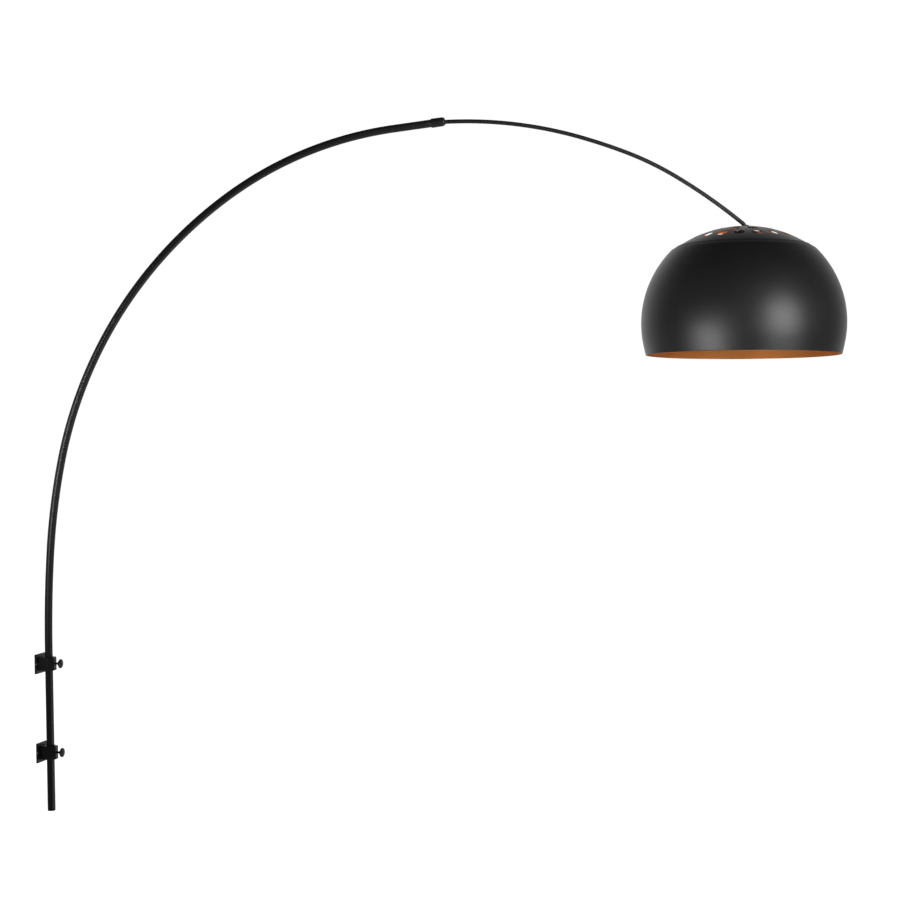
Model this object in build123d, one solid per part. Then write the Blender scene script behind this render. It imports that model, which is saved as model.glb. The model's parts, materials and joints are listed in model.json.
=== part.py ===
from build123d import *
import os
from math import sin, cos, tan, asin, acos, atan2, radians, degrees, sqrt, pi

# Arc wall lamp: two wall brackets clamp a vertical tube that bends over in a
# long arc; a slim rod telescopes out of the tube along the same arc and
# carries a dome shade in two pieces, a perforated cap and a lower dome.
#
# Frame: +X out of the wall, +Z up. The origin is on the wall plane, in the
# middle of the four screw holes of the two wall plates. Millimetres.

os.makedirs("parts", exist_ok=True)

# ------------------------------------------------------------ dimensions
PSI = 15.0            # the arm as shown is swung this far from square to the wall
XT = 20.5             # tube axis from the wall
BR_Z = 86.0           # each bracket's centre above and below the origin

PLATE = 38.0          # square wall plate
PLATE_T = 3.0
HOLE_Y = 15.0         # wall screw holes, each side of the centre
HOLE_R = 2.1
BLOCK_W = 22.0        # clamp block
BLOCK_H = 26.0
BLOCK_X = 34.0        # its front face from the wall
BLOCK_NOSE = 10.0     # width of that face

TUBE_R = 7.5          # main tube, 15 mm outside
TUBE_RI = 6.5
TUBE_BORE = 7.58      # bore of the blocks
Z_FOOT = -195.7       # lower end of the tube
Z_BEND = 116.74       # upper end of its straight run
TUBE_ARCS = [(2601.3, 4.048), (1330.1, 7.726), (828.6, 43.052), (709.0, 28.078)]  # radius, turn
TUBE_LAST = 82.6      # straight run at the tube's end
ROD_R = 4.0           # telescoping rod, 8 mm outside
ROD_RI = 3.2
ROD_P = (787.0, 1121.697)     # a point of the rod's axis, at the nose of the lock nut
ROD_H = 1.962         # its heading there, degrees above level
ROD_IN = 129.2        # length of rod inside that point
ROD_ARCS = [(803.3, 19.045), (1127.0, 4.423), (610.1, 10.082), (1065.7, 8.337)]  # radius, turn
FLEX_R = 2.5          # internal flex
R_ELBOW = 12.0        # tight elbow at the rod's end
QX = 4.0              # rod, pin and lamp holder stand this far out from the shade's axis
HEAD_LEAN = 1.04      # lean of the shade's axis against the tube's

APEX_R, APEX_Z = 1360.65, 908.2   # top of the cap, in the arm's plane
PIN_D = 20.0          # tilt pin below the top of the cap

SHEET = 1.2           # sheet of the shade
CAP_R = 224.0         # spherical cap
CAP_EDGE = 134.0      # hidden edge of the cap, below the dome's flange
LIP_R = 126.5         # upper edge of the lower dome, the visible seam
FLANGE_R = 131.0      # the dome's flange lies on the cap out to here
RIM_Z = -248.5        # lower rim of the dome below the top of the cap
DOME_K = (138.2, -45.0)   # shoulder of the dome
DOME_A0, DOME_RA, DOME_AJ, DOME_RB = 45.4, 201.7, 102.0, 990.0
HOLES = [(95.0, 18), (66.0, 12), (37.0, 6)]   # rings of holes: radius, count
HOLE_D = 20.5
HOLE_PHASE = 5.2      # direction that the rings share, from the near side
SLOT = (-12.7, 13.5, 5.3)   # slot for the rod: ends along the arm, half width

# ------------------------------------------------------------ helpers
ARM = Pos(XT, 0, 0) * Rot(0, 0, PSI)              # arm frame to object frame
HEAD = ARM * Pos(APEX_R, 0, APEX_Z) * Rot(0, HEAD_LEAN, 0)


def save(name, shape):
    shape.label = name
    export_step(shape, "parts/" + name + ".step")


def ring(ro, ri, z0, z1):
    """Tube or disc on the local Z axis, from z0 to z1."""
    prof = Circle(ro) - Circle(ri) if ri > 0 else Circle(ro)
    return Pos(0, 0, z0) * extrude(prof, amount=z1 - z0)


def lathe(points):
    """Solid of revolution about local Z from (radius, z) points."""
    return revolve(Plane.XZ * make_face(Polyline(*points, close=True)), Axis.Z)


def arc_run(cx, cz, rad, h0, h1, ro, ri=0.0):
    """Round bar or tube bent about (cx, cz), heading h0 down to h1."""
    p = (cx - rad * sin(radians(h0)), 0, cz + rad * cos(radians(h0)))
    pl = Plane(origin=p, x_dir=(0, 1, 0),
               z_dir=(cos(radians(h0)), 0, sin(radians(h0))))
    sec = Circle(ro) - Circle(ri) if ri > 0 else Circle(ro)
    return revolve(pl * sec, Axis((cx, 0, cz), (0, 1, 0)), revolution_arc=h0 - h1)


def hexagon(af, z0, z1, r_in):
    prof = RegularPolygon(af / 2, 6, major_radius=False) - Circle(r_in)
    return Pos(0, 0, z0) * extrude(prof, amount=z1 - z0)


def chain(x, z, h, arcs):
    """Arcs in tangent order from a point and heading: centres, headings and the end."""
    segs = []
    for rad, turn in arcs:
        c = (x + rad * sin(radians(h)), z - rad * cos(radians(h)))
        segs.append((c[0], c[1], rad, h, h - turn))
        h -= turn
        x, z = c[0] - rad * sin(radians(h)), c[1] + rad * cos(radians(h))
    return segs, (x, z, h)


def bent(segs, ro, ri=0.0):
    out_ = arc_run(*segs[0], ro, ri)
    for sg in segs[1:]:
        out_ += arc_run(*sg, ro, ri)
    return out_


def station(x, z, h):
    """Frame on a bent bar: local z along it, local y across, in the arm's plane."""
    return Location(Plane(origin=(x, 0, z), x_dir=(0, 1, 0),
                          z_dir=(cos(radians(h)), 0, sin(radians(h)))))


T_SEGS, T_END = chain(0.0, Z_BEND, 90.0, TUBE_ARCS)
R_SEGS, R_END = chain(ROD_P[0], ROD_P[1], ROD_H, ROD_ARCS)
R2 = ROD_ARCS[0][0]   # the rod slides on this circle
C2 = (R_SEGS[0][0], R_SEGS[0][1])
H_ROD_IN = ROD_H + degrees(ROD_IN / R2)      # heading of the rod's inner end
H_SLIDE = ROD_H - ROD_ARCS[0][1]             # the sliding circle ends here


# ------------------------------------------------------------ wall brackets
def plate(zc):
    b = Pos(PLATE_T / 2, 0, zc) * Box(PLATE_T, PLATE, PLATE)
    b = fillet(b.edges().filter_by(Axis.X), 1.5)
    b = chamfer(b.faces().sort_by(Axis.X)[-1].outer_wire().edges(), 0.5)
    cut = Rot(0, 90, 0) * Cylinder(HOLE_R, 20)
    sink = Rot(0, 90, 0) * Cone(HOLE_R, HOLE_R + 1.6, 1.6, align=(Align.CENTER, Align.CENTER, Align.MIN))
    for s in (-1, 1):
        b -= Pos(0, s * HOLE_Y, zc) * cut
        b -= Pos(PLATE_T - 1.6, s * HOLE_Y, zc) * sink
        # two screws from the back hold the block
        b -= Pos(0, 0, zc + s * 8) * Rot(0, 90, 0) * Cylinder(1.7, 20)
        b -= Pos(0, 0, zc + s * 8) * Rot(0, 90, 0) * Cone(3.4, 1.7, 1.7, align=(Align.CENTER, Align.CENTER, Align.MIN))
    return b


def block(zc):
    hw = BLOCK_W / 2
    # plan: straight sides, round shoulder about the tube, taper to the nose
    d = sqrt((BLOCK_X - XT) ** 2 + (BLOCK_NOSE / 2) ** 2)
    ang = atan2(BLOCK_NOSE / 2, BLOCK_X - XT) + acos(hw / d)
    tx, ty = XT + hw * cos(ang), hw * sin(ang)
    mid = (ang + pi / 2) / 2
    mx, my = XT + hw * cos(mid), hw * sin(mid)
    n = BLOCK_NOSE / 2
    edges = [Line((PLATE_T, -hw), (XT, -hw)),
             ThreePointArc((XT, -hw), (mx, -my), (tx, -ty)),
             Line((tx, -ty), (BLOCK_X, -n)), Line((BLOCK_X, -n), (BLOCK_X, n)),
             Line((BLOCK_X, n), (tx, ty)),
             ThreePointArc((tx, ty), (mx, my), (XT, hw)),
             Line((XT, hw), (PLATE_T, hw)), Line((PLATE_T, hw), (PLATE_T, -hw))]
    b = Pos(0, 0, zc - BLOCK_H / 2) * extrude(make_face(edges), amount=BLOCK_H)
    b = chamfer(b.edges().filter_by(lambda e: abs(abs(e.center().Z - zc) - BLOCK_H / 2) < 0.01
                                    and e.center().X > PLATE_T + 0.1), 0.8)
    b -= Pos(XT, 0, zc) * Cylinder(TUBE_BORE, BLOCK_H + 2)
    b -= Pos(BLOCK_X, 0, zc) * Rot(0, 90, 0) * Cylinder(2.05, 20)          # clamp screw
    for s in (-1, 1):
        b -= Pos(PLATE_T, 0, zc + s * 8) * Rot(0, 90, 0) * Cylinder(1.5, 14)  # from the back
    return b


def block_screws(zc):
    out = []
    for s in (-1, 1):
        head = Rot(0, 90, 0) * Cone(3.2, 1.48, 1.72, align=(Align.CENTER, Align.CENTER, Align.MIN))
        shank = Pos(1.7, 0, 0) * Rot(0, 90, 0) * Cylinder(1.48, 7.2, align=(Align.CENTER, Align.CENTER, Align.MIN))
        drive = Rot(0, 90, 0) * extrude(RegularPolygon(1.0, 6), amount=1.0)
        out.append(Pos(0.1, 0, zc + s * 8) * (head + shank - drive))
    return Compound(children=out)


PAD_X = XT + TUBE_R + 0.15
KNOB_R = (8.6 ** 2 + 2.2 ** 2) / (2 * 2.2)      # crown of the knob's face
for tag, zc in (("upper", BR_Z), ("lower", -BR_Z)):
    save("wall_plate_" + tag, plate(zc))
    save("clamp_block_" + tag, block(zc))
    save("block_screws_" + tag, block_screws(zc))
    # pressure pad in the clamp hole, with its socket for the screw's tip
    pad = Pos(PAD_X, 0, zc) * Rot(0, 90, 0) * (
        ring(1.85, 0, 0, 1.6) - ring(1.05, 0, 0.7, 2.0))
    save("pressure_pad_" + tag, pad)
    # thumb screw: tip, threaded stem and collar
    sx = PAD_X + 1.7
    stem = Pos(sx, 0, zc) * Rot(0, 90, 0) * (
        ring(1.0, 0, -0.95, 0) + ring(1.98, 0, 0, 41.0 - sx) + ring(3.0, 0, 39.6 - sx, 41.0 - sx)
        + ring(1.98, 0, 41.0 - sx, 46.0 - sx))
    save("thumb_screw_" + tag, stem)
    # mushroom knob: coned back, short rim, slightly domed face
    face = revolve(Plane.XZ * make_face(
        [Line((0, 41.0), (4.2, 41.0)), Line((4.2, 41.0), (8.6, 44.2)), Line((8.6, 44.2), (9.0, 44.9)),
         Line((9.0, 44.9), (9.0, 46.0)), Line((9.0, 46.0), (8.6, 46.6)),
         ThreePointArc((8.6, 46.6), (4.3, 48.8 - KNOB_R + sqrt(KNOB_R ** 2 - 4.3 ** 2)), (0, 48.8)),
         Line((0, 48.8), (0, 41.0))]), Axis.Z)
    for n in range(12):
        face -= Rot(0, 0, n * 30) * Pos(9.7, 0, 45) * Cylinder(1.3, 12)
    face -= Pos(0, 0, 43) * Cylinder(2.0, 6)
    save("thumb_knob_" + tag, Pos(0, 0, zc) * Rot(0, 90, 0) * face)

# ------------------------------------------------------------ foot of the tube
# Cord bush: stands in the tube's end with a running fit, slides up and down with it.
foot = ring(6.44, 3.25, Z_FOOT, Z_FOOT + 9.0) + ring(7.5, 3.25, Z_FOOT - 3.2, Z_FOOT - 0.2) \
    + ring(6.44, 3.25, Z_FOOT - 0.2, Z_FOOT)
foot = fillet(foot.edges().filter_by(GeomType.CIRCLE).sort_by(Axis.Z)[0:2], 0.8)
save("foot_bush", ARM * foot)

# ------------------------------------------------------------ main tube
tube = ring(TUBE_R, TUBE_RI, Z_FOOT, Z_BEND) + bent(T_SEGS, TUBE_R, TUBE_RI) \
    + station(*T_END) * ring(TUBE_R, TUBE_RI, 0, TUBE_LAST)
save("main_tube", ARM * tube)

# End ferrule of the tube, in the local frame of the tube's end: z along the
# tube towards the rod, z=0 at the end face. Its bore and the clamping ring's
# follow the rod's own arc, which crosses the tube's axis at the nut.
th = radians(T_END[2])
e2 = (T_END[0] + TUBE_LAST * cos(th), T_END[1] + TUBE_LAST * sin(th))
END = ARM * station(e2[0], e2[1], T_END[2])
ferrule = lathe([(0, -12.0), (6.42, -12.0), (6.42, 0.0), (7.3, 0.0), (7.3, 1.2), (6.4, 1.2),
                 (6.4, 9.0), (5.9, 9.6), (0, 9.6)])
save("tube_end_ferrule", END * ferrule - ARM * arc_run(*C2, R2, ROD_H + 4.5, ROD_H - 1.0, 4.35))
# Split clamping ring that the nut squeezes on the rod
clamp_ring = lathe([(0, 9.9), (5.8, 9.9), (5.8, 11.6), (4.95, 13.5), (0, 13.5)])
clamp_ring -= Pos(5.0, 0, 11.7) * Box(4.0, 0.8, 8.0)
save("clamping_ring", END * clamp_ring - ARM * arc_run(*C2, R2, ROD_H + 4.5, ROD_H - 1.0, 4.12))
# Lock nut over the tube's end: long sleeve, bevelled tail, coned nose
nut = lathe([(7.95, -8.0), (8.5, -8.0), (8.95, -7.4), (8.8, 14.2), (7.9, 16.7), (6.9, 18.4), (6.1, 19.0),
             (5.3, 19.0), (5.3, 13.5), (6.1, 11.9), (6.1, 9.9), (6.75, 9.2), (6.75, 1.6), (7.95, 1.3)])
save("lock_nut", END * nut)

# ------------------------------------------------------------ rod
HF = -90.0 - HEAD_LEAN
ca, sa = cos(radians(HEAD_LEAN)), sin(radians(HEAD_LEAN))
rh = radians(R_END[2])


def elbow(run):
    """Elbow's centre and its lower end in the head's frame after a straight run."""
    c = (R_END[0] + run * cos(rh) + R_ELBOW * sin(rh), R_END[1] + run * sin(rh) - R_ELBOW * cos(rh))
    q = (c[0] - R_ELBOW * sin(radians(HF)) - APEX_R, c[1] + R_ELBOW * cos(radians(HF)) - APEX_Z)
    return c, q[0] * ca - q[1] * sa, q[0] * sa + q[1] * ca


ROD_LAST = (QX - elbow(0)[1]) / (cos(rh) * ca - sin(rh) * sa)
ec, qx, qz = elbow(ROD_LAST)
print("end of the elbow, head frame: %.3f %.3f, straight run %.2f" % (qx, qz, ROD_LAST))
SOCK = -15.0          # lower end of the rod in the knuckle's socket
rod = ARM * (arc_run(*C2, R2, H_ROD_IN, H_SLIDE, ROD_R, ROD_RI) + bent(R_SEGS[1:], ROD_R, ROD_RI)
             + station(*R_END) * ring(ROD_R, ROD_RI, 0, ROD_LAST)
             + arc_run(*ec, R_ELBOW, R_END[2], HF, ROD_R, ROD_RI))
rod += HEAD * Pos(qx, 0, 0) * ring(ROD_R, ROD_RI, SOCK, qz)
save("telescoping_rod", rod)

# Liner in the rod's inner end: saves the flex from the cut edge
hi = radians(H_ROD_IN)
INNER = ARM * station(C2[0] - R2 * sin(hi), C2[1] + R2 * cos(hi), H_ROD_IN)
liner = lathe([(2.75, -1.4), (3.5, -1.4), (3.95, -0.9), (3.95, -0.02), (3.14, -0.02), (3.14, 8.0), (2.75, 8.0)])
save("rod_end_liner", INNER * liner)

# Knuckle barrel: hollow, so that the flex runs straight through between the
# two half pins. Head frame, z down from the top of the cap.
barrel = ring(8.0, 3.3, -30.0, -9.6) - Pos(0, 0, 0) * ring(ROD_R + 0.03, 0, SOCK - 0.02, 0)
barrel = Pos(qx, 0, 0) * barrel
barrel = chamfer(barrel.edges().filter_by(GeomType.CIRCLE).filter_by(lambda e: e.radius > 7.9), 0.8)
for s in (-1, 1):
    barrel -= Pos(qx, s * 6.0, -PIN_D) * Rot(90, 0, 0) * Cylinder(2.5, 6.0)
save("knuckle_barrel", HEAD * barrel)

# Two half pins: head outside the yoke, shoulder in the yoke, thread in the barrel
pins = []
for s in (-1, 1):
    one = ring(2.48, 0, 3.6, 8.05) + ring(2.95, 0, 8.05, 11.9) + ring(4.8, 0, 11.9, 14.6)
    one -= Pos(0, 0, 13.2) * extrude(RegularPolygon(1.6, 6), amount=3)
    pins.append(Pos(qx, 0, -PIN_D) * Rot(-90 * s, 0, 0) * one)
save("knuckle_pins", HEAD * Compound(children=pins))

# Flex: an upper length that travels with the rod, a lower length in the tube
H_FLEX_UP = H_ROD_IN + 0.4
flex_up = ARM * (arc_run(*C2, R2, H_FLEX_UP, H_SLIDE, FLEX_R) + bent(R_SEGS[1:], FLEX_R)
                 + station(*R_END) * ring(FLEX_R, 0, 0, ROD_LAST)
                 + arc_run(*ec, R_ELBOW, R_END[2], HF, FLEX_R))
flex_up += HEAD * Pos(qx, 0, 0) * ring(FLEX_R, 0, -30.5, qz)
save("flex_in_rod", flex_up)
T3 = T_SEGS[2]
flex_lo = ring(FLEX_R, 0, Z_FOOT + 12, Z_BEND) + bent(T_SEGS[:2], FLEX_R) \
    + arc_run(*T3[:4], 60.0, FLEX_R)
save("flex_in_tube", ARM * flex_lo)

# ------------------------------------------------------------ head: yoke
t = 2.5
yi = 9.15             # inside of each cheek from the middle
yoke = Box(18, 2 * (yi + t), t, align=(Align.CENTER, Align.CENTER, Align.MAX))
yoke = Pos(0, 0, -44.0) * yoke
for s in (-1, 1):
    cheek = Pos(0, s * (yi + t / 2), -25.35) * Box(18, t, 42.3)
    flange = Pos(0, s * (yi + 8.4), -5.45) * Box(18, 16.8, t)
    yoke += cheek + flange
yoke = fillet(yoke.edges().filter_by(Axis.X).filter_by(
    lambda e: abs(abs(e.center().Y) - (yi + t)) < 0.01 and e.center().Z < -40), 2.0)
yoke = fillet(yoke.edges().filter_by(Axis.Z).filter_by(lambda e: abs(e.center().Y) > 24), 4.0)
yoke -= Pos(0, 0, -PIN_D) * Rot(90, 0, 0) * Cylinder(3.0, 60)
yoke -= Pos(0, 0, -45) * Cylinder(5.05, 20)
for s in (-1, 1):
    yoke -= Pos(0, s * 20, -5) * Cylinder(2.0, 12)
yoke = Pos(qx, 0, 0) * yoke
save("tilt_yoke", HEAD * yoke)
washers = []
for s in (-1, 1):
    washers.append(Pos(qx, 0, -PIN_D) * Rot(-90 * s, 0, 0) * ring(6.6, 3.0, 8.12, 9.1))
save("friction_washers", HEAD * Compound(children=washers))

# ------------------------------------------------------------ shade: cap
co = -CAP_R           # sphere's centre below the top


def on_sphere(rad, r):
    return (r, co + sqrt(rad * rad - r * r))


ro_, ri_ = CAP_R, CAP_R - SHEET
p0, p1 = on_sphere(ro_, 0), on_sphere(ro_, CAP_EDGE)
u = (p1[0] / ro_, (p1[1] - co) / ro_)
p2 = (p1[0] - SHEET * u[0], p1[1] - SHEET * u[1])
cap = revolve(Plane.XZ * make_face(
    [ThreePointArc(p0, on_sphere(ro_, 70), p1), Line(p1, p2),
     ThreePointArc(p2, on_sphere(ri_, 70), (0, co + ri_)), Line((0, co + ri_), p0)]), Axis.Z)
for rr, n in HOLES:
    tilt = degrees(asin(rr / CAP_R))
    for i in range(n):
        a = HOLE_PHASE - 90 + i * 360.0 / n
        cap -= Pos(0, 0, co) * Rot(0, 0, a) * Rot(0, tilt, 0) * Pos(0, 0, CAP_R) * Cylinder(HOLE_D / 2, 20)
s0, s1, sw = SLOT
cap -= Pos(0, 0, -8) * extrude(Pos(qx + (s0 + s1) / 2, 0) * SlotOverall(s1 - s0, 2 * sw), amount=12)
for s in (-1, 1):
    cap -= Pos(qx, s * 20, -5) * Cylinder(2.1, 20)
save("perforated_cap", HEAD * cap)

# two flat-headed screws hold the cap to the yoke's flanges
zt = on_sphere(ro_, 16.5)[1]
cs = []
for s in (-1, 1):
    one = ring(1.98, 0, -8.2, zt + 0.1) + ring(3.4, 0, zt + 0.02, zt + 1.1)
    one -= Pos(0, 0, zt + 0.5) * extrude(RegularPolygon(1.3, 6), amount=2)
    cs.append(Pos(qx, s * 20, 0) * one)
save("cap_screws", HEAD * Compound(children=cs))

# ------------------------------------------------------------ shade: lower dome
def on_line(a, d, c, r, near):
    """Where the line a + t d meets a circle, the point nearest to 'near'."""
    ux, uz = a[0] - c[0], a[1] - c[1]
    b = ux * d[0] + uz * d[1]
    k = sqrt(b * b - (ux * ux + uz * uz - r * r))
    pts = [(a[0] + t * d[0], a[1] + t * d[1]) for t in (-b - k, -b + k)]
    return min(pts, key=lambda p: (p[0] - near[0]) ** 2 + (p[1] - near[1]) ** 2)


a0, aj = radians(DOME_A0), radians(DOME_AJ)
CA = (DOME_K[0] - DOME_RA * sin(a0), DOME_K[1] - DOME_RA * cos(a0))
so, si = CAP_R + SHEET + 0.04, CAP_R + 0.04
FL = on_sphere(so, FLANGE_R)
fd = sqrt((DOME_K[0] - FL[0]) ** 2 + (DOME_K[1] - FL[1]) ** 2)
fd = ((DOME_K[0] - FL[0]) / fd, (DOME_K[1] - FL[1]) / fd)      # down the short cone


def dome_side(off, rs):
    """Profile of one side of the sheet, from the lip to the rim."""
    ra, rb = DOME_RA - off, DOME_RB - off
    base = (FL[0] + off * fd[1], FL[1] - off * fd[0])
    f = on_line(base, fd, (0, co), rs, base) if off else FL
    k = on_line(base, fd, CA, ra, DOME_K) if off else DOME_K
    ak = atan2(k[0] - CA[0], k[1] - CA[1])
    pj = (CA[0] + ra * sin(aj), CA[1] + ra * cos(aj))
    cb = (pj[0] - rb * sin(aj), pj[1] - rb * cos(aj))
    ae = acos((RIM_Z - cb[1]) / rb)
    pe = (cb[0] + rb * sin(ae), cb[1] + rb * cos(ae))
    am, an = (ak + aj) / 2, (aj + ae) / 2
    pm = (CA[0] + ra * sin(am), CA[1] + ra * cos(am))
    pn = (cb[0] + rb * sin(an), cb[1] + rb * cos(an))
    lip = on_sphere(rs, LIP_R)
    return lip, on_sphere(rs, (LIP_R + f[0]) / 2), f, k, pm, pj, pn, pe


o = dome_side(0.0, so)
i = dome_side(SHEET, si)
dome = revolve(Plane.XZ * make_face(
    [ThreePointArc(o[0], o[1], o[2]), Line(o[2], o[3]), ThreePointArc(o[3], o[4], o[5]),
     ThreePointArc(o[5], o[6], o[7]), Line(o[7], i[7]), ThreePointArc(i[7], i[6], i[5]),
     ThreePointArc(i[5], i[4], i[3]), Line(i[3], i[2]), ThreePointArc(i[2], i[1], i[0]),
     Line(i[0], o[0])]), Axis.Z)
for pt, rf in ((o[3], 7.0), (i[3], 5.8)):          # eased shoulder
    dome = fillet(dome.edges().filter_by(GeomType.CIRCLE).filter_by(
        lambda e: abs(e.radius - pt[0]) < 0.01 and abs(e.center().Z - pt[1]) < 0.01), rf)
save("lower_dome", HEAD * dome)
print("rim radius %.2f, shoulder %.2f %.2f" % (o[7][0], o[3][0], o[3][1]))

# ------------------------------------------------------------ lamp holder
H = HEAD * Pos(qx, 0, 0)
save("holder_nipple", H * ring(4.98, 3.5, -57.5, -38.5))
save("nipple_lock_nut", H * hexagon(14.0, -43.9, -40.2, 5.0))
cup = lathe([(5.05, -47.6), (23.2, -47.6), (24.0, -46.8), (24.0, -10.3), (23.0, -10.3), (23.0, -46.6), (5.05, -46.6)])
save("knuckle_cup", H * cup)
cover = lathe([(5.0, -47.7), (9.5, -47.7), (13.5, -49.0), (16.6, -52.4), (18.2, -58.0), (18.2, -68.0),
               (16.2, -68.0), (16.2, -59.0), (14.8, -54.9), (12.0, -51.6), (8.0, -51.6), (8.0, -57.0), (5.0, -57.0)])
save("holder_cover", H * cover)
body = lathe([(14.2, -102.0), (17.6, -102.0), (18.6, -101.0), (18.6, -84.0), (20.0, -84.0), (20.0, -70.0),
              (19.0, -68.1), (16.0, -68.1), (16.0, -62.0), (14.8, -62.0), (14.8, -79.6), (14.2, -79.6)])
save("holder_body", H * body)
holder_ring = lathe([(18.7, -92.5), (22.4, -92.5), (22.4, -91.0), (20.6, -90.2), (20.6, -85.6), (18.7, -85.6)])
for kk in range(24):
    holder_ring -= Rot(0, 0, kk * 15) * Pos(20.9, 0, -87.9) * Cylinder(0.55, 4.4)
save("holder_ring", H * holder_ring)
insul = ring(14.6, 0, -78.6, -70.5) + ring(6.6, 0, -70.5, -66.5) - ring(1.3, 0, -81, -60)
for s in (-1, 1):
    insul -= Pos(s * 9.5, 0, -72) * Cylinder(2.0, 5)
save("holder_insulator", H * insul)
shell = lathe([(13.3, -100.5), (14.05, -100.5), (14.05, -79.0), (4.8, -79.0), (4.8, -79.6), (12.6, -79.6),
               (12.6, -82.6), (13.3, -82.6)])
save("thread_shell", H * shell)
contact = ring(1.2, 0, -81.0, -67.5) + ring(3.6, 0, -82.4, -81.0)
save("centre_contact", H * contact)
terms = [Pos(s * 9.5, 0, 0) * (ring(1.9, 0, -74.0, -69.6) + ring(2.6, 0, -70.4, -66.8) - Pos(0, 0, -67.4) * Box(6, 0.7, 1.3))
         for s in (-1, 1)]
save("terminal_screws", H * Compound(children=terms))
save("flex_tail", H * ring(FLEX_R, 0, -62.0, -34.0))

# ------------------------------------------------------------ joint data
def out(name, p):
    print(name, "(%.5f, %.5f, %.5f)" % (p.X / 1000, p.Y / 1000, p.Z / 1000))


def where(loc, x=0, y=0, z=0):
    return (loc * Pos(x, y, z)).position


out("arc centre", where(ARM, C2[0], 0, C2[1]))
out("tilt pin", where(H, 0, 0, -PIN_D))
out("nut centre", where(END, 0, 0, 4))
v = where(END, 0, 0, 1) - where(END)
print("nut axis (%.6f, %.6f, %.6f)" % (v.X, v.Y, v.Z))
v = where(ARM, 0, 1, 0) - where(ARM)
print("arm normal (%.6f, %.6f, %.6f)" % (v.X, v.Y, v.Z))
out("tube axis", where(ARM))
out("socket mouth", where(H, 0, 0, -91.55))
v = where(H, 0, 0, -1) - where(H)
print("socket axis (%.6f, %.6f, %.6f)" % (v.X, v.Y, v.Z))
out("apex", where(HEAD))
out("rim centre", where(HEAD, 0, 0, RIM_Z))
out("tube end", where(END))
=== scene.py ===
import json
import math
import bpy
from mathutils import Matrix, Vector
from mathutils.geometry import delaunay_2d_cdt


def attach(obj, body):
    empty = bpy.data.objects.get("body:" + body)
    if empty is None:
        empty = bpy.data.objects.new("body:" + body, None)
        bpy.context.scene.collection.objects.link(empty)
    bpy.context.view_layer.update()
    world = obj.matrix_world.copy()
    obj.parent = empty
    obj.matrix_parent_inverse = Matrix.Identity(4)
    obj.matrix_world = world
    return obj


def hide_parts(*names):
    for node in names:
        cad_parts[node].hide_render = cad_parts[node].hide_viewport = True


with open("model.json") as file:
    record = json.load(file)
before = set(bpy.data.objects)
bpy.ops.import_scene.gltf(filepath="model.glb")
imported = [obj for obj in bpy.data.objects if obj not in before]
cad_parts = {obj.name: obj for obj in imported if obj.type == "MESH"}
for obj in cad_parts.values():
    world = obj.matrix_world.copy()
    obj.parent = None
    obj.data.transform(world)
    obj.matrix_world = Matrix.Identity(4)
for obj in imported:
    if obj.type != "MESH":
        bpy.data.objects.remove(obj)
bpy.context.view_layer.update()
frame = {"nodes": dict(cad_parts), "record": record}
NODES = frame["nodes"]

# ------------------------------------------------------------------ sizes
# The same driving sizes as the construction, in millimetres. Meshes are made
# in millimetres in a local frame and brought to metres in the row frame.
PSI = math.radians(15.0)
XT = 20.5
Z_FOOT, Z_BEND = -195.7, 116.74
TUBE_ARCS = [(2601.3, 4.048), (1330.1, 7.726), (828.6, 43.052), (709.0, 28.078)]
TUBE_LAST = 82.6
ROD_P, ROD_H, ROD_IN = (787.0, 1121.697), 1.962, 129.2
ROD_ARCS = [(803.3, 19.045), (1127.0, 4.423), (610.1, 10.082), (1065.7, 8.337)]
R_ELBOW, QX = 12.0, 4.0
TUBE_R, TUBE_RI, ROD_R, ROD_RI = 7.5, 6.5, 4.0, 3.2
LEAN = math.radians(1.04)
APEX_R, APEX_Z = 1360.65, 908.2
CAP_R, SHEET, CAP_EDGE, LIP_R, FLANGE_R, RIM_Z = 224.0, 1.2, 134.0, 126.5, 131.0, -248.5
DOME_K, DOME_A0, DOME_RA, DOME_AJ, DOME_RB = (138.2, -45.0), 45.4, 201.7, 102.0, 990.0
HOLES, HOLE_D, HOLE_PHASE = [(95.0, 18), (66.0, 12), (37.0, 6)], 20.5, 5.2
SLOT = (-12.7, 13.5, 5.3)

ARM = Matrix.Translation((XT, 0, 0)) @ Matrix.Rotation(PSI, 4, "Z")
HEAD = ARM @ Matrix.Translation((APEX_R, 0, APEX_Z)) @ Matrix.Rotation(LEAN, 4, "Y")
MM = Matrix.Scale(0.001, 4)


def arc_at(c, rad, h):
    """Point and direction at heading h (degrees) on a big arc, arm's plane."""
    a = math.radians(h)
    return (c[0] - rad * math.sin(a), c[1] + rad * math.cos(a)), (math.cos(a), math.sin(a))


def chain(x, z, h, arcs):
    """Arcs in tangent order: (centre, radius, first and last heading), and the end."""
    segs = []
    for rad, turn in arcs:
        c = (x + rad * math.sin(math.radians(h)), z - rad * math.cos(math.radians(h)))
        segs.append((c, rad, h, h - turn))
        h -= turn
        (x, z), _ = arc_at(c, rad, h)
    return segs, (x, z, h)


T_SEGS, T_END = chain(0.0, Z_BEND, 90.0, TUBE_ARCS)
R_SEGS, R_END = chain(ROD_P[0], ROD_P[1], ROD_H, ROD_ARCS)
HF = -90.0 - 1.04
RH = math.radians(R_END[2])


def elbow(run):
    """Elbow's centre and lower end (head frame) after a straight run."""
    c = (R_END[0] + run * math.cos(RH) + R_ELBOW * math.sin(RH),
         R_END[1] + run * math.sin(RH) - R_ELBOW * math.cos(RH))
    (x, z), _ = arc_at(c, R_ELBOW, HF)
    x, z = x - APEX_R, z - APEX_Z
    return c, x * math.cos(LEAN) - z * math.sin(LEAN), x * math.sin(LEAN) + z * math.cos(LEAN)


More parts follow.
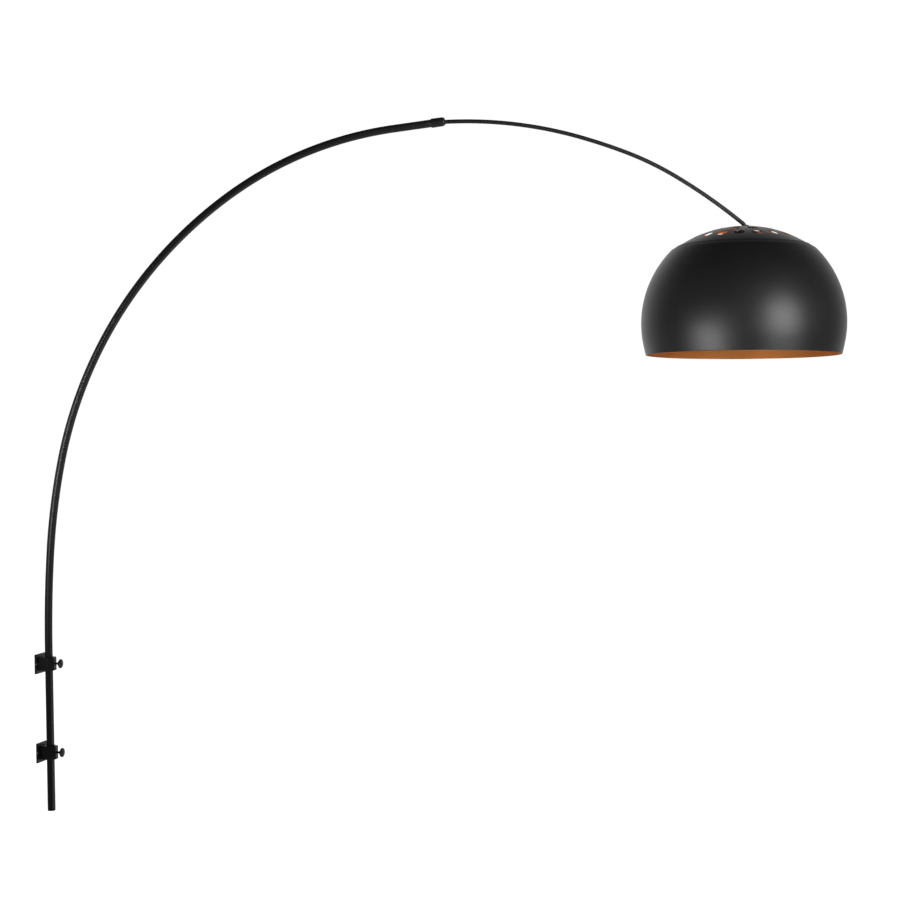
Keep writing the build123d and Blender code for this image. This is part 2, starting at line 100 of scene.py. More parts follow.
ROD_LAST = (QX - elbow(0.0)[1]) / (math.cos(RH) * math.cos(LEAN) - math.sin(RH) * math.sin(LEAN))
EC, _, QZ = elbow(ROD_LAST)


# ------------------------------------------------------------------ materials
def new_mat(name):
    m = bpy.data.materials.new(name)
    m.use_nodes = True
    nt = m.node_tree
    nt.nodes.clear()
    out = nt.nodes.new("ShaderNodeOutputMaterial")
    b = nt.nodes.new("ShaderNodeBsdfPrincipled")
    nt.links.new(b.outputs["BSDF"], out.inputs["Surface"])
    return m, nt, b


def noise(nt, vec, scale, detail=3.0, rough=0.55, stretch=None):
    n = nt.nodes.new("ShaderNodeTexNoise")
    n.inputs["Scale"].default_value = scale
    n.inputs["Detail"].default_value = detail
    n.inputs["Roughness"].default_value = rough
    if stretch:
        mp = nt.nodes.new("ShaderNodeMapping")
        mp.inputs["Scale"].default_value = stretch
        nt.links.new(vec, mp.inputs["Vector"])
        vec = mp.outputs["Vector"]
    nt.links.new(vec, n.inputs["Vector"])
    return n.outputs["Fac"]


def remap(nt, val, a, b, lo=0.3, hi=0.7):
    r = nt.nodes.new("ShaderNodeMapRange")
    r.inputs["From Min"].default_value = lo
    r.inputs["From Max"].default_value = hi
    r.inputs["To Min"].default_value = a
    r.inputs["To Max"].default_value = b
    nt.links.new(val, r.inputs["Value"])
    return r.outputs["Result"]


def mix_col(nt, fac, c1, c2):
    m = nt.nodes.new("ShaderNodeMix")
    m.data_type = "RGBA"
    nt.links.new(fac, m.inputs["Factor"])
    m.inputs["A"].default_value = (*c1, 1)
    m.inputs["B"].default_value = (*c2, 1)
    return m.outputs["Result"]


def bump(nt, height, strength, dist, normal=None):
    b = nt.nodes.new("ShaderNodeBump")
    b.inputs["Strength"].default_value = strength
    b.inputs["Distance"].default_value = dist
    nt.links.new(height, b.inputs["Height"])
    if normal is not None:
        nt.links.new(normal, b.inputs["Normal"])
    return b.outputs["Normal"]


def obj_coord(nt):
    return nt.nodes.new("ShaderNodeTexCoord").outputs["Object"]


def coat(name, dark, light, rough, peel, spec=0.5, metallic=0.0, grain=900.0, clear=0.0):
    """Sprayed and baked coat: fine orange peel, a slow drift in tone and gloss."""
    m, nt, b = new_mat(name)
    v = obj_coord(nt)
    slow = noise(nt, v, 14.0, 2.0)
    fine = noise(nt, v, grain, 2.0, 0.5)
    broad = noise(nt, v, grain * 0.28, 2.0, 0.5)
    nt.links.new(mix_col(nt, remap(nt, slow, 0, 1), dark, light), b.inputs["Base Color"])
    mixr = nt.nodes.new("ShaderNodeMath")
    mixr.operation = "ADD"
    nt.links.new(remap(nt, slow, -0.018, 0.018), mixr.inputs[0])
    nt.links.new(remap(nt, fine, rough - 0.02, rough + 0.02), mixr.inputs[1])
    nt.links.new(mixr.outputs[0], b.inputs["Roughness"])
    n1 = bump(nt, broad, 0.35 * peel, 0.00012)
    nt.links.new(bump(nt, fine, 0.5 * peel, 0.00003, n1), b.inputs["Normal"])
    b.inputs["Metallic"].default_value = metallic
    b.inputs["Specular IOR Level"].default_value = spec
    if clear:
        b.inputs["Coat Weight"].default_value = clear
        b.inputs["Coat Roughness"].default_value = 0.18
    return m


def metal(name, dark, light, rough, spread, grain=700.0, stretch=None, bumpy=0.25):
    m, nt, b = new_mat(name)
    v = obj_coord(nt)
    slow = noise(nt, v, 60.0, 3.0)
    fine = noise(nt, v, grain, 4.0, 0.6, stretch)
    nt.links.new(mix_col(nt, remap(nt, slow, 0, 1), dark, light), b.inputs["Base Color"])
    nt.links.new(remap(nt, fine, rough - spread, rough + spread), b.inputs["Roughness"])
    nt.links.new(bump(nt, fine, bumpy, 0.00003), b.inputs["Normal"])
    b.inputs["Metallic"].default_value = 1.0
    return m


def plastic(name, dark, light, rough, grain=1200.0, bumpy=0.35, spec=0.5, subsurface=0.0):
    m, nt, b = new_mat(name)
    v = obj_coord(nt)
    slow = noise(nt, v, 90.0, 2.0)
    fine = noise(nt, v, grain, 2.0, 0.5)
    nt.links.new(mix_col(nt, remap(nt, slow, 0, 1), dark, light), b.inputs["Base Color"])
    nt.links.new(remap(nt, fine, rough - 0.05, rough + 0.05), b.inputs["Roughness"])
    nt.links.new(bump(nt, fine, bumpy, 0.00004), b.inputs["Normal"])
    b.inputs["Specular IOR Level"].default_value = spec
    if subsurface:
        b.inputs["Subsurface Weight"].default_value = subsurface
        b.inputs["Subsurface Radius"].default_value = (0.002, 0.0016, 0.0012)
    return m


M = {
    "black_coat": coat("satin_black_coat", (0.0195, 0.0198, 0.0200), (0.0228, 0.0231, 0.0233), 0.42, 0.8),
    "shade_out": coat("shade_black_outside", (0.0080, 0.0083, 0.0082), (0.0098, 0.0102, 0.0100), 0.40, 0.55),
    "cap_out": coat("cap_grey_black_outside", (0.020, 0.0205, 0.0210), (0.0235, 0.0240, 0.0245), 0.38, 0.5),
    # painted shade: a darker, less glossy copy of the shade's outside coat for the flange, short cone and lip edge
    "flange_painted_shade": coat("flange_coat_painted_shade", (0.0075, 0.0078, 0.0077), (0.0092, 0.0096, 0.0094), 0.50, 0.55,
                         spec=0.26),
    "shade_in": coat("shade_copper_inside", (0.72, 0.345, 0.110), (0.78, 0.385, 0.128), 0.42, 0.5,
                     metallic=0.75, grain=1100.0),
    "black_steel": metal("black_oxide_steel", (0.035, 0.034, 0.034), (0.055, 0.053, 0.052), 0.42, 0.07),
    "zinc": metal("zinc_plate", (0.58, 0.59, 0.58), (0.70, 0.71, 0.69), 0.30, 0.08, bumpy=0.15),
    "brass": metal("brass", (0.72, 0.50, 0.20), (0.83, 0.60, 0.27), 0.28, 0.07, bumpy=0.15),
    "black_plastic": plastic("moulded_black_plastic", (0.010, 0.010, 0.011), (0.016, 0.016, 0.017), 0.38),
    "nylon": plastic("natural_nylon", (0.62, 0.60, 0.54), (0.70, 0.68, 0.62), 0.45, subsurface=0.2),
    "ceramic": plastic("glazed_ceramic", (0.78, 0.76, 0.71), (0.85, 0.83, 0.78), 0.16, grain=300.0, bumpy=0.1),
    "flex": plastic("flex_sheath", (0.012, 0.012, 0.012), (0.022, 0.022, 0.022), 0.55, grain=800.0),
}
SLOT_OF = {s["node"]: s["material_slot"] for s in frame["record"]["subparts"]}
for n, o in NODES.items():
    key = SLOT_OF.get(n, "black_coat")
    mat = M.get({"shade_coat": "shade_out", "cap_coat": "cap_out"}.get(key, key))
    for s in o.material_slots:
        s.link = "OBJECT"
        s.material = mat
    if not o.material_slots:
        o.data.materials.append(mat)


# ------------------------------------------------------------------ mesh tools
def add_piece(name, verts, faces, mats, idx=None, local=None, body=None, replaces=(),
              normals=None):
    """verts in mm in the frame `local` (a matrix in mm); rides on `body`."""
    mt = MM @ local if local is not None else MM
    me = bpy.data.meshes.new(name)
    me.from_pydata([mt @ Vector(v) for v in verts], [], faces)
    for m in mats:
        me.materials.append(m)
    for p in me.polygons:
        p.use_smooth = True
    if idx:
        me.polygons.foreach_set("material_index", idx)
    me.update()
    if normals is not None:
        rot = local.to_3x3() if local is not None else Matrix.Identity(3)
        me.normals_split_custom_set_from_vertices([(rot @ Vector(v)).normalized() for v in normals])
    o = bpy.data.objects.new(name, me)
    bpy.context.scene.collection.objects.link(o)
    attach(o, body)
    if replaces:
        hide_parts(*replaces)
    return o


def lathe(profile, seg, mat_of=None, closed=True):
    """Revolves (r, z) points about z. Returns verts, faces and material index."""
    verts, faces, idx, first = [], [], [], []
    for r, z in profile:
        first.append(len(verts))
        if r < 1e-6:
            verts.append((0, 0, z))
        else:
            for k in range(seg):
                a = 2 * math.pi * k / seg
                verts.append((r * math.cos(a), r * math.sin(a), z))
    n = len(profile)
    for i in range(n if closed else n - 1):
        j = (i + 1) % n
        pi_, pj = profile[i][0] < 1e-6, profile[j][0] < 1e-6
        if pi_ and pj:
            continue
        m = mat_of(i) if mat_of else 0
        for k in range(seg):
            l = (k + 1) % seg
            if pi_:
                f = (first[i], first[j] + l, first[j] + k)
            elif pj:
                f = (first[i] + k, first[i] + l, first[j])
            else:
                f = (first[i] + k, first[i] + l, first[j] + l, first[j] + k)
            faces.append(f)
            idx.append(m)
    return verts, faces, idx


def bent_tube(stations, ro, ri, seg, bev=0.25):
    """Hollow round bar through (point, direction) stations in the arm's plane."""
    verts, faces = [], []

    def ring(st, r, shift=0.0):
        (x, z), (dx, dz) = st
        x, z = x + dx * shift, z + dz * shift
        base = len(verts)
        for k in range(seg):
            a = 2 * math.pi * k / seg
            u, w = r * math.cos(a), r * math.sin(a)
            verts.append((x - dz * u, w, z + dx * u))
        return base

    s0, s1 = stations[0], stations[-1]
    loop = [ring(s0, ro - bev), ring(s0, ro - bev * 0.3, bev * 0.3), ring(s0, ro, bev)]
    loop += [ring(s, ro) for s in stations[1:-1]]
    loop += [ring(s1, ro, -bev), ring(s1, ro - bev * 0.3, -bev * 0.3), ring(s1, ro - bev), ring(s1, ri)]
    loop += [ring(s, ri) for s in reversed(stations[1:-1])]
    loop += [ring(s0, ri)]
    for i in range(len(loop)):
        a, b = loop[i], loop[(i + 1) % len(loop)]
        for k in range(seg):
            l = (k + 1) % seg
            faces.append((a + k, b + k, b + l, a + l))
    return verts, faces


def arc_stations(c, rad, h0, h1, step):
    n = max(2, int(abs(h0 - h1) / step))
    return [arc_at(c, rad, h0 + (h1 - h0) * i / n) for i in range(n + 1)]


# ------------------------------------------------------------------ tube and rod
st = [((0.0, Z_FOOT), (0.0, 1.0)), ((0.0, Z_FOOT + 1.0), (0.0, 1.0))]
st += [((0.0, z), (0.0, 1.0)) for z in range(-180, 110, 20)]
for sg in T_SEGS:
    st += arc_stations(*sg, 0.4)[0 if sg is T_SEGS[0] else 1:]
th = math.radians(T_END[2])
for k in (0.25, 0.5, 0.75, 1.0):
    st.append(((T_END[0] + TUBE_LAST * k * math.cos(th), T_END[1] + TUBE_LAST * k * math.sin(th)),
               (math.cos(th), math.sin(th))))
v, f = bent_tube(st, TUBE_R, TUBE_RI, 64, 0.35)
add_piece("arc_tube", v, f, [M["black_coat"]], local=ARM, body="arm",
          replaces=("main_tube",))

r2 = ROD_ARCS[0][0]
st = arc_stations(R_SEGS[0][0], r2, ROD_H + math.degrees(ROD_IN / r2), R_SEGS[0][3], 0.5)
for sg in R_SEGS[1:]:
    st += arc_stations(*sg, 0.5)[1:]
st += arc_stations(EC, R_ELBOW, R_END[2], HF, 4.0)
end_dir = (-math.sin(LEAN), -math.cos(LEAN))
for k in (0.5, 1.0):
    z = QZ + (-15.0 - QZ) * k
    x_, z_ = QX * math.cos(LEAN) + z * math.sin(LEAN), -QX * math.sin(LEAN) + z * math.cos(LEAN)
    st.append(((APEX_R + x_, APEX_Z + z_), end_dir))
v, f = bent_tube(st, ROD_R, ROD_RI, 48, 0.2)
add_piece("slim_rod", v, f, [M["black_coat"]], local=ARM, body="rod",
          replaces=("telescoping_rod",))


# ------------------------------------------------------------------ dome
def on_sphere(rad, r):
    return (r, -CAP_R + math.sqrt(rad * rad - r * r))


def on_line(a, d, c, r, near):
    """Where the line a + t d meets a circle, the point nearest to `near`."""
    ux, uz = a[0] - c[0], a[1] - c[1]
    b = ux * d[0] + uz * d[1]
    k = math.sqrt(b * b - (ux * ux + uz * uz - r * r))
    pts = [(a[0] + t * d[0], a[1] + t * d[1]) for t in (-b - k, -b + k)]
    return min(pts, key=lambda p: (p[0] - near[0]) ** 2 + (p[1] - near[1]) ** 2)


def dome_profile(off, rs):
    """Lip, flange, shoulder, belly and rim of one side of the sheet, finely sampled."""
    a0, aj = math.radians(DOME_A0), math.radians(DOME_AJ)
    ca = (DOME_K[0] - DOME_RA * math.sin(a0), DOME_K[1] - DOME_RA * math.cos(a0))
    fl = on_sphere(CAP_R + SHEET + 0.04, FLANGE_R)
    l = math.hypot(DOME_K[0] - fl[0], DOME_K[1] - fl[1])
    fd = ((DOME_K[0] - fl[0]) / l, (DOME_K[1] - fl[1]) / l)
    base = (fl[0] + off * fd[1], fl[1] - off * fd[0])
    ra, rb, rk = DOME_RA - off, DOME_RB - off, 7.0 - off
    f = on_line(base, fd, (0, -CAP_R), rs, base)
    k = on_line(base, fd, ca, ra, DOME_K)
    pj = (ca[0] + ra * math.sin(aj), ca[1] + ra * math.cos(aj))
    cb = (pj[0] - rb * math.sin(aj), pj[1] - rb * math.cos(aj))
    ae = math.acos((RIM_Z - cb[1]) / rb)
    pts = [on_sphere(rs, LIP_R + (f[0] - LIP_R) * t / 4) for t in range(5)]
    # short cone, then the shoulder eased over a small radius
    phi = math.atan2(-fd[1], fd[0])
    ak = math.atan2(k[0] - ca[0], k[1] - ca[1])
    t_ = rk * math.tan((ak - phi) / 2)
    n = 6
    pts += [(f[0] + (k[0] - t_ * fd[0] - f[0]) * t / n, f[1] + (k[1] - t_ * fd[1] - f[1]) * t / n)
            for t in range(1, n + 1)]
    ck = (pts[-1][0] - rk * math.sin(phi), pts[-1][1] - rk * math.cos(phi))
    n = 7
    pts += [(ck[0] + rk * math.sin(phi + (ak - phi) * t / n), ck[1] + rk * math.cos(phi + (ak - phi) * t / n))
            for t in range(1, n + 1)]
    n, a1 = 66, ak + 1.02 * t_ / ra
    for t in range(1, n + 1):
        a = a1 + (aj - a1) * (t / n) ** 1.25
        pts.append((ca[0] + ra * math.sin(a), ca[1] + ra * math.cos(a)))
    n = 30
    pts += [(cb[0] + rb * math.sin(aj + (ae - aj) * t / n), cb[1] + rb * math.cos(aj + (ae - aj) * t / n))
            for t in range(1, n + 1)]
    return pts


outer = dome_profile(0.0, CAP_R + SHEET + 0.04)
inner = dome_profile(SHEET, CAP_R + 0.04)


def edge_round(p_out, p_in, d, steps=5):
    """Half-round edge of the sheet from the outer to the inner side, bulging along d."""
    cx, cz = (p_out[0] + p_in[0]) / 2, (p_out[1] + p_in[1]) / 2
    hx, hz = p_out[0] - cx, p_out[1] - cz
    h = math.hypot(hx, hz)
    res = []
    for i in range(1, steps):
        t = math.pi * i / steps
        res.append((cx + hx * math.cos(t) + d[0] * h * math.sin(t),
                    cz + hz * math.cos(t) + d[1] * h * math.sin(t)))
    return res


def back_off(pts, dist):
    """Ends the profile `dist` before its last point."""
    (x0, z0), (x1, z1) = pts[-2], pts[-1]
    l = math.hypot(x1 - x0, z1 - z0)
    return pts[:-1] + [(x1 - (x1 - x0) * dist / l, z1 - (z1 - z0) * dist / l)], ((x1 - x0) / l, (z1 - z0) / l)


o_p, d_rim = back_off(outer, 0.6)
i_p, _ = back_off(inner, 0.6)
o_p, d_lip = back_off(o_p[::-1], 0.6)
i_p, _ = back_off(i_p[::-1], 0.6)
o_p, i_p = o_p[::-1], i_p[::-1]
rim = edge_round(o_p[-1], i_p[-1], d_rim)
lip = edge_round(i_p[0], o_p[0], d_lip)
prof = o_p + rim + i_p[::-1] + lip
n_o, n_r, n_i = len(o_p), len(rim), len(i_p)


n_f = 11            # profile steps of the flange and the short cone above the shoulder


# 0 black outside, 1 copper inside, 2 painted shade on the flange, the short cone and the lip's edge
def dome_mat(i):
    if i < n_f or i >= n_o + n_r + n_i:
        return 2
    return 1 if n_o + n_r - 1 <= i < n_o + n_r + n_i - 1 else 0


v, f, idx = lathe(prof, 288, dome_mat)
f = [tuple(reversed(q)) for q in f]
add_piece("dome_shell", v, f, [M["shade_out"], M["shade_in"], M["flange_painted_shade"]], idx, local=HEAD, body="head",
          replaces=("lower_dome",))


# ------------------------------------------------------------------ cap
def cap_shell():
    """Spherical cap with bevelled round holes, the rod's slot and two screw holes.

    The outside is laid out in plan as a triangulation with the hole edges as
    fixed loops; the inside is the same layout one sheet further in."""
    co = Vector((0, 0, -CAP_R))
    r_hole = HOLE_D / 2
    bev = 0.3
    loops = []          # each: list of rings of 3-D points from outside to inside

    def on_cap(x, y, rad=CAP_R):
        return Vector((x, y, -CAP_R + math.sqrt(rad * rad - x * x - y * y)))

    def ball_ring(cdir, side, up, r, rad, n):
        """Points at distance r from the axis cdir on the sphere of radius rad."""
        h = math.sqrt(rad * rad - r * r)
        return [co + cdir * h + (side * math.cos(2 * math.pi * k / n) + up * math.sin(2 * math.pi * k / n)) * r
                for k in range(n)]

    guard = []          # plan centres and radii that grid points keep away from
    for rr, num in HOLES:
        tilt = math.asin(rr / CAP_R)
        for i in range(num):
            a = math.radians(HOLE_PHASE - 90 + i * 360.0 / num)
            rot = Matrix.Rotation(a, 3, "Z") @ Matrix.Rotation(tilt, 3, "Y")
            cdir, side, up = rot @ Vector((0, 0, 1)), rot @ Vector((1, 0, 0)), rot @ Vector((0, 1, 0))
            n = 56
            rings = [ball_ring(cdir, side, up, r_hole + bev + 1.2, CAP_R, n),
                     ball_ring(cdir, side, up, r_hole + bev, CAP_R, n)]
            for r_, d_ in ((0.09, 0.09), (0.0, bev), (0.0, SHEET - bev), (0.09, SHEET - 0.09)):
                rings.append(ball_ring(cdir, side, up, r_hole + r_, CAP_R - d_, n))
            rings += [ball_ring(cdir, side, up, r_hole + bev, CAP_R - SHEET, n),
                      ball_ring(cdir, side, up, r_hole + bev + 1.2, CAP_R - SHEET, n)]
            loops.append(rings)
            c = cdir * CAP_R
            guard.append((c.x, c.y, r_hole + bev + 1.2 + 1.6))
    s0, s1, sw = SLOT

    def stadium(off, n=14):
        pts = []
        x0, x1 = QX + s0 + sw, QX + s1 - sw
        for k in range(n + 1):
            t = -math.pi / 2 + math.pi * k / n
            pts.append((x1 + (sw + off) * math.cos(t), (sw + off) * math.sin(t)))
        for q in range(1, 6):
            pts.append((x1 + (x0 - x1) * q / 6, sw + off))
        for k in range(n + 1):
            t = math.pi / 2 + math.pi * k / n
            pts.append((x0 + (sw + off) * math.cos(t), (sw + off) * math.sin(t)))
        for q in range(1, 6):
            pts.append((x0 + (x1 - x0) * q / 6, -(sw + off)))
        return pts

    def plan_loop(outline):
        rings = [[on_cap(x, y) for x, y in outline(bev + 0.9)], [on_cap(x, y) for x, y in outline(bev)]]
        for r_, d_ in ((0.09, 0.09), (0.0, bev), (0.0, SHEET - bev), (0.09, SHEET - 0.09)):
            rings.append([on_cap(x, y, CAP_R - d_) for x, y in outline(r_)])
        rings += [[on_cap(x, y, CAP_R - SHEET) for x, y in outline(bev)],
                  [on_cap(x, y, CAP_R - SHEET) for x, y in outline(bev + 0.9)]]
        return rings

    loops.append(plan_loop(stadium))
    for q in range(9):
        guard.append((QX + s0 + sw + (s1 - s0 - 2 * sw) * q / 8, 0.0, sw + bev + 0.9 + 1.4))
    for s in (-1, 1):
        def small(off, s=s):
            return [(QX + (2.1 + off) * math.cos(2 * math.pi * k / 24), s * 20 + (2.1 + off) * math.sin(2 * math.pi * k / 24))
                    for k in range(24)]
        loops.append(plan_loop(small))
        guard.append((QX, s * 20.0, 2.1 + bev + 0.9 + 1.0))

    # outer edge of the cap, hidden under the dome's lip
    ne = 240
    edge = [(CAP_EDGE * math.cos(2 * math.pi * k / ne), CAP_EDGE * math.sin(2 * math.pi * k / ne)) for k in range(ne)]
    # free points in plan
    grid = []
    r = 3.6
    while r < CAP_EDGE - 2.5:
        n = max(8, int(2 * math.pi * r / 3.8))
        for k in range(n):
            a = 2 * math.pi * (k + 0.5 * (int(r / 3.6) % 2)) / n
            x, y = r * math.cos(a), r * math.sin(a)
            if all((x - gx) ** 2 + (y - gy) ** 2 > gr * gr for gx, gy, gr in guard):
                grid.append((x, y))
        r += 3.6

    pts2, cons = [], []
    owner = []          # for every plan vertex: ("loop", i, k), ("edge", k) or ("grid",)
    for i, rings in enumerate(loops):
        b = len(pts2)
        for k, p in enumerate(rings[0]):
            pts2.append(Vector((p.x, p.y)))
            owner.append(("loop", i, k))
        n = len(rings[0])
        cons += [(b + k, b + (k + 1) % n) for k in range(n)]
    b = len(pts2)
    for k, (x, y) in enumerate(edge):
        pts2.append(Vector((x, y)))
        owner.append(("edge", k))
    cons += [(b + k, b + (k + 1) % ne) for k in range(ne)]
    for x, y in grid:
        pts2.append(Vector((x, y)))
        owner.append(("grid",))
    res = delaunay_2d_cdt(pts2, cons, [], 0, 1e-5)
    out_v, out_f, orig = res[0], res[2], res[3]
    ids = [o[0] if o else -1 for o in orig]

    hole_test = [(g[0], g[1]) for g in guard]

    verts, norms, faces, idx = [], [], [], []

    def put(p, n):
        verts.append(tuple(p))
        norms.append(tuple(n))
        return len(verts) - 1

    ring_ids = []
    for rings in loops:
        mine = []
        for j, ring in enumerate(rings):
            cen = sum(ring, Vector()) / len(ring)
            row = []
            for p in ring:
                nrm = (p - co).normalized()
                into = cen - p
                into = (into - nrm * into.dot(nrm)).normalized()
                w = (0, 0, 0.7071, 1, 1, 0.7071, 0, 0)[j]
                sgn = 1 if j < 4 else -1
                nn = nrm * sgn * math.sqrt(max(0.0, 1 - w * w)) + into * w
                row.append(put(p, nn))
            mine.append(row)
        ring_ids.append(mine)

    def build(side):
        rad = CAP_R if side == 0 else CAP_R - SHEET
        vid = {}
        for i, p in enumerate(out_v):
            o = owner[ids[i]] if ids[i] >= 0 else ("grid",)
            if o[0] == "loop":
                vid[i] = ring_ids[o[1]][0 if side == 0 else -1][o[2]]
            else:
                q = on_cap(p.x, p.y)
                if side:
                    q = co + (q - co) * ((CAP_R - SHEET) / CAP_R)
                nn = (q - co).normalized() * (1 if side == 0 else -1)
                vid[i] = put(q, nn)
        return vid

    vo, vi = build(0), build(1)
    inside = []
    for rings in loops:
        inside.append([(p.x, p.y) for p in rings[0]])

    def in_poly(x, y, poly):
        c, j = False, len(poly) - 1
        for i in range(len(poly)):
            xi, yi = poly[i]
            xj, yj = poly[j]
            if (yi > y) != (yj > y) and x < (xj - xi) * (y - yi) / (yj - yi) + xi:
                c = not c
            j = i
        return c

    boxes = [(min(p[0] for p in q), max(p[0] for p in q), min(p[1] for p in q), max(p[1] for p in q), q) for q in inside]
    for t in out_f:
        x = sum(out_v[k].x for k in t) / 3
        y = sum(out_v[k].y for k in t) / 3
        if x * x + y * y > (CAP_EDGE - 0.005) ** 2:
            continue
        if any(b[0] <= x <= b[1] and b[2] <= y <= b[3] and in_poly(x, y, b[4]) for b in boxes):
            continue
        a, b_, c = t
        area = (out_v[b_].x - out_v[a].x) * (out_v[c].y - out_v[a].y) - (out_v[c].x - out_v[a].x) * (out_v[b_].y - out_v[a].y)
        if area < 0:
            b_, c = c, b_
        faces.append((vo[a], vo[b_], vo[c]))
        idx.append(0)
        faces.append((vi[a], vi[c], vi[b_]))
        idx.append(1)
    for rings in ring_ids:
        n = len(rings[0])
        for j in range(len(rings) - 1):
            for k in range(n):
                l = (k + 1) % n
                faces.append((rings[j][k], rings[j][l], rings[j + 1][l], rings[j + 1][k]))
                idx.append(0 if j < 5 else 1)
    # the outer edge of the sheet
    eo = {owner[ids[i]][1]: vo[i] for i in vo if ids[i] >= 0 and owner[ids[i]][0] == "edge"}
    ei = {owner[ids[i]][1]: vi[i] for i in vi if ids[i] >= 0 and owner[ids[i]][0] == "edge"}
    for k in range(ne):
        l = (k + 1) % ne
        faces.append((eo[l], eo[k], ei[k], ei[l]))
        idx.append(0)
    return verts, norms, faces, idx


v, nrm, f, idx = cap_shell()
add_piece("cap_shell", v, f, [M["cap_out"], M["shade_in"]], idx, local=HEAD, body="head",
          replaces=("perforated_cap",), normals=nrm)

# ------------------------------------------------------------------ lamp thread
def helix_ridge(section, z0, pitch, turns, per_turn=72):
    """Rolled ridge that winds down the inside of the shell; its ends run out to nothing."""
    verts, faces = [], []
    n, m = int(turns * per_turn), len(section)
    r_base = section[0][0]
    for i in range(n + 1):
        t = i / per_turn
        a = 2 * math.pi * t
        grow = min(1.0, t * 4, (turns - t) * 4)
        grow = grow * grow * (3 - 2 * grow)
        for r, dz in section:
            r_ = r_base + (r - r_base) * max(0.02, grow)
            verts.append((r_ * math.cos(a), r_ * math.sin(a), z0 - pitch * t + dz * max(0.1, grow)))
    for i in range(n):
        for k in range(m):
            l = (k + 1) % m
            faces.append((i * m + k, i * m + l, (i + 1) * m + l, (i + 1) * m + k))
    faces.append(tuple(range(m))[::-1])
    faces.append(tuple(n * m + k for k in range(m)))
    return verts, faces


HOLDER = HEAD @ Matrix.Translation((QX, 0, 0))
v, f = helix_ridge([(13.42, -1.15), (13.26, -0.85), (13.0, -0.42), (12.9, 0.0), (13.0, 0.42), (13.26, 0.85), (13.42, 1.15)],
                   -84.6, 3.63, 3.7)
add_piece("socket_thread", v, f, [M["brass"]], local=HOLDER, body="head")

# ------------------------------------------------------------------ stage
FWD = Vector((-math.sin(PSI), math.cos(PSI), 0))
ARM_DIR = Vector((math.cos(PSI), math.sin(PSI), 0))


def stage_mesh(name, verts, faces, mat):
    me = bpy.data.meshes.new(name)
    me.from_pydata(verts, [], faces)
    me.materials.append(mat)
    o = bpy.data.objects.new(name, me)
    bpy.context.scene.collection.objects.link(o)
    return o


FLOOR_Z = -3.6
m, nt, b = new_mat("pale_floor")
b.inputs["Emission Color"].default_value = (1, 1, 1, 1)
b.inputs["Emission Strength"].default_value = 1.0
vec = obj_coord(nt)
nt.links.new(mix_col(nt, remap(nt, noise(nt, vec, 0.6, 4.0), 0, 1), (0.90, 0.90, 0.90), (0.93, 0.93, 0.925)),
             b.inputs["Base Color"])
b.inputs["Roughness"].default_value = 0.9
b.inputs["Specular IOR Level"].default_value = 0.1
n = 96
ring = [(0.75 + 60 * math.cos(2 * math.pi * k / n), 60 * math.sin(2 * math.pi * k / n), FLOOR_Z) for k in range(n)]
floor = stage_mesh("floor", ring, [tuple(range(n))], m)
floor.visible_glossy = False
floor.visible_diffuse = False


def area_light(name, az, el, dist, w, h, watts, target=(1.33, 0.35, 0.74), colour=(1, 1, 1), spread=70.0):
    """Soft light; az to the right of the camera's side as seen from the object, el above level."""
    a, e = math.radians(az), math.radians(el)
    d = (-FWD * math.cos(a) + ARM_DIR * math.sin(a)) * math.cos(e) + Vector((0, 0, math.sin(e)))
    li = bpy.data.lights.new(name, "AREA")
    li.shape = "RECTANGLE"
    li.size, li.size_y = w, h
    li.energy = watts
    li.color = colour
    li.spread = math.radians(spread)
    o = bpy.data.objects.new(name, li)
    o.location = Vector(target) + d * dist
    o.rotation_mode = "QUATERNION"
    o.rotation_quaternion = (-d).to_track_quat("-Z", "Y")
    o.visible_camera = False
    bpy.context.scene.collection.objects.link(o)
    return o


area_light("soft_right", 33.0, 1.3, 1.40, 1.00, 1.04, 2.80, spread=50.0)
area_light("soft_left", -49.0, -17.0, 1.40, 1.04, 0.72, 1.52, spread=50.0)
area_light("from_below", 60.0, -66.0, 1.3, 0.6, 0.6, 5.5, target=(1.33, 0.35, 0.66), spread=180.0)
area_light("tube_left", -24.0, 0.0, 1.0, 0.20, 0.52, 0.34, target=(0.05, 0.01, 0.52), spread=40.0)

w = bpy.data.worlds.new("studio")
bpy.context.scene.world = w
w.use_nodes = True
nt = w.node_tree
nt.nodes.clear()
out = nt.nodes.new("ShaderNodeOutputWorld")
tc = nt.nodes.new("ShaderNodeTexCoord")
dot = nt.nodes.new("ShaderNodeVectorMath")
dot.operation = "DOT_PRODUCT"
dot.inputs[1].default_value = FWD
nt.links.new(tc.outputs["Generated"], dot.inputs[0])
sep = nt.nodes.new("ShaderNodeSeparateXYZ")
nt.links.new(tc.outputs["Generated"], sep.inputs[0])


def world_ramp(src, stops):
    r = nt.nodes.new("ShaderNodeValToRGB")
    r.color_ramp.interpolation = "EASE"
    e = r.color_ramp.elements
    e[0].position, e[0].color = stops[0][0], (stops[0][1],) * 3 + (1,)
    e[1].position, e[1].color = stops[-1][0], (stops[-1][1],) * 3 + (1,)
    for p, c in stops[1:-1]:
        x = e.new(p)
        x.color = (c,) * 3 + (1,)
    nt.links.new(src, r.inputs[0])
    return r.outputs[0]


half = nt.nodes.new("ShaderNodeMapRange")
half.inputs["From Min"].default_value = -1
nt.links.new(dot.outputs["Value"], half.inputs["Value"])
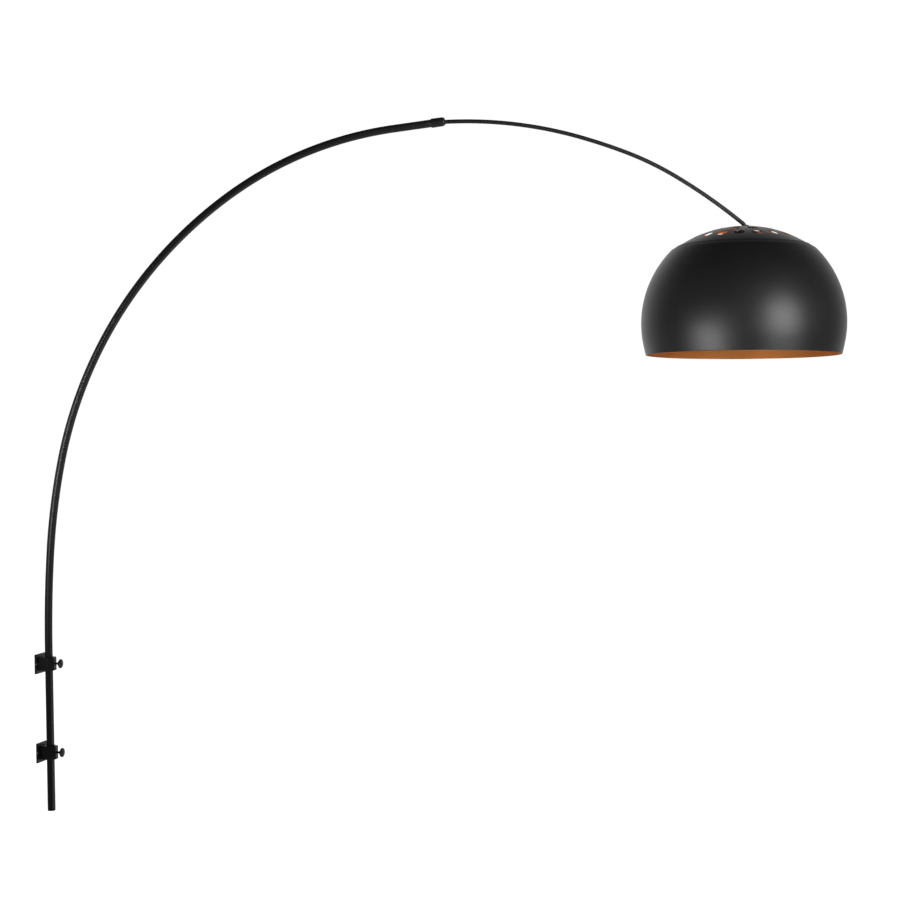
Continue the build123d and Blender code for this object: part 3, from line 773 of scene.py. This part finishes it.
# level glow: dim towards the front, white behind the object
side_glow = world_ramp(half.outputs["Result"], [(0.0, 0.10), (0.50, 0.12), (0.64, 0.18), (0.75, 0.30), (0.85, 0.55), (0.95, 0.9), (1.0, 1.0)])
# fades to a dark ceiling overhead
up = world_ramp(sep.outputs["Z"], [(0.0, 1.0), (0.45, 1.0), (0.72, 0.55), (0.90, 0.18), (0.985, 0.06), (1.0, 0.05)])
mul = nt.nodes.new("ShaderNodeMix")
mul.data_type = "RGBA"
mul.blend_type = "MULTIPLY"
mul.inputs["Factor"].default_value = 1.0
nt.links.new(side_glow, mul.inputs["A"])
nt.links.new(up, mul.inputs["B"])
bg = nt.nodes.new("ShaderNodeBackground")
nt.links.new(mul.outputs["Result"], bg.inputs["Color"])
bg.inputs["Strength"].default_value = 1.0
seen = nt.nodes.new("ShaderNodeBackground")
seen.inputs["Color"].default_value = (1, 1, 1, 1)
seen.inputs["Strength"].default_value = 1.02
lp = nt.nodes.new("ShaderNodeLightPath")
mx = nt.nodes.new("ShaderNodeMixShader")
nt.links.new(lp.outputs["Is Camera Ray"], mx.inputs["Fac"])
nt.links.new(bg.outputs[0], mx.inputs[1])
nt.links.new(seen.outputs[0], mx.inputs[2])
nt.links.new(mx.outputs[0], out.inputs["Surface"])

sc = bpy.context.scene
sc.view_settings.view_transform = "Standard"
sc.view_settings.look = "None"
sc.view_settings.exposure = 0.0
sc.view_settings.gamma = 1.0

# ------------------------------------------------------------------ camera
cam = bpy.data.cameras.new("camera")
cam.lens, cam.sensor_width, cam.sensor_fit = 64.0, 36.0, "HORIZONTAL"
cam.shift_x, cam.shift_y = 0.0, -0.02
cam.clip_start, cam.clip_end = 0.05, 200
co_ = bpy.data.objects.new("camera", cam)
bpy.context.scene.collection.objects.link(co_)
roll = math.radians(1.04)
right = ARM_DIR * math.cos(roll) - Vector((0, 0, 1)) * math.sin(roll)
upv = Vector((0, 0, 1)) * math.cos(roll) + ARM_DIR * math.sin(roll)
rot = Matrix((right, upv, -FWD)).transposed().to_4x4()
co_.matrix_world = Matrix.Translation((1.5820, -2.7930, 0.5204)) @ rot
bpy.context.scene.camera = co_
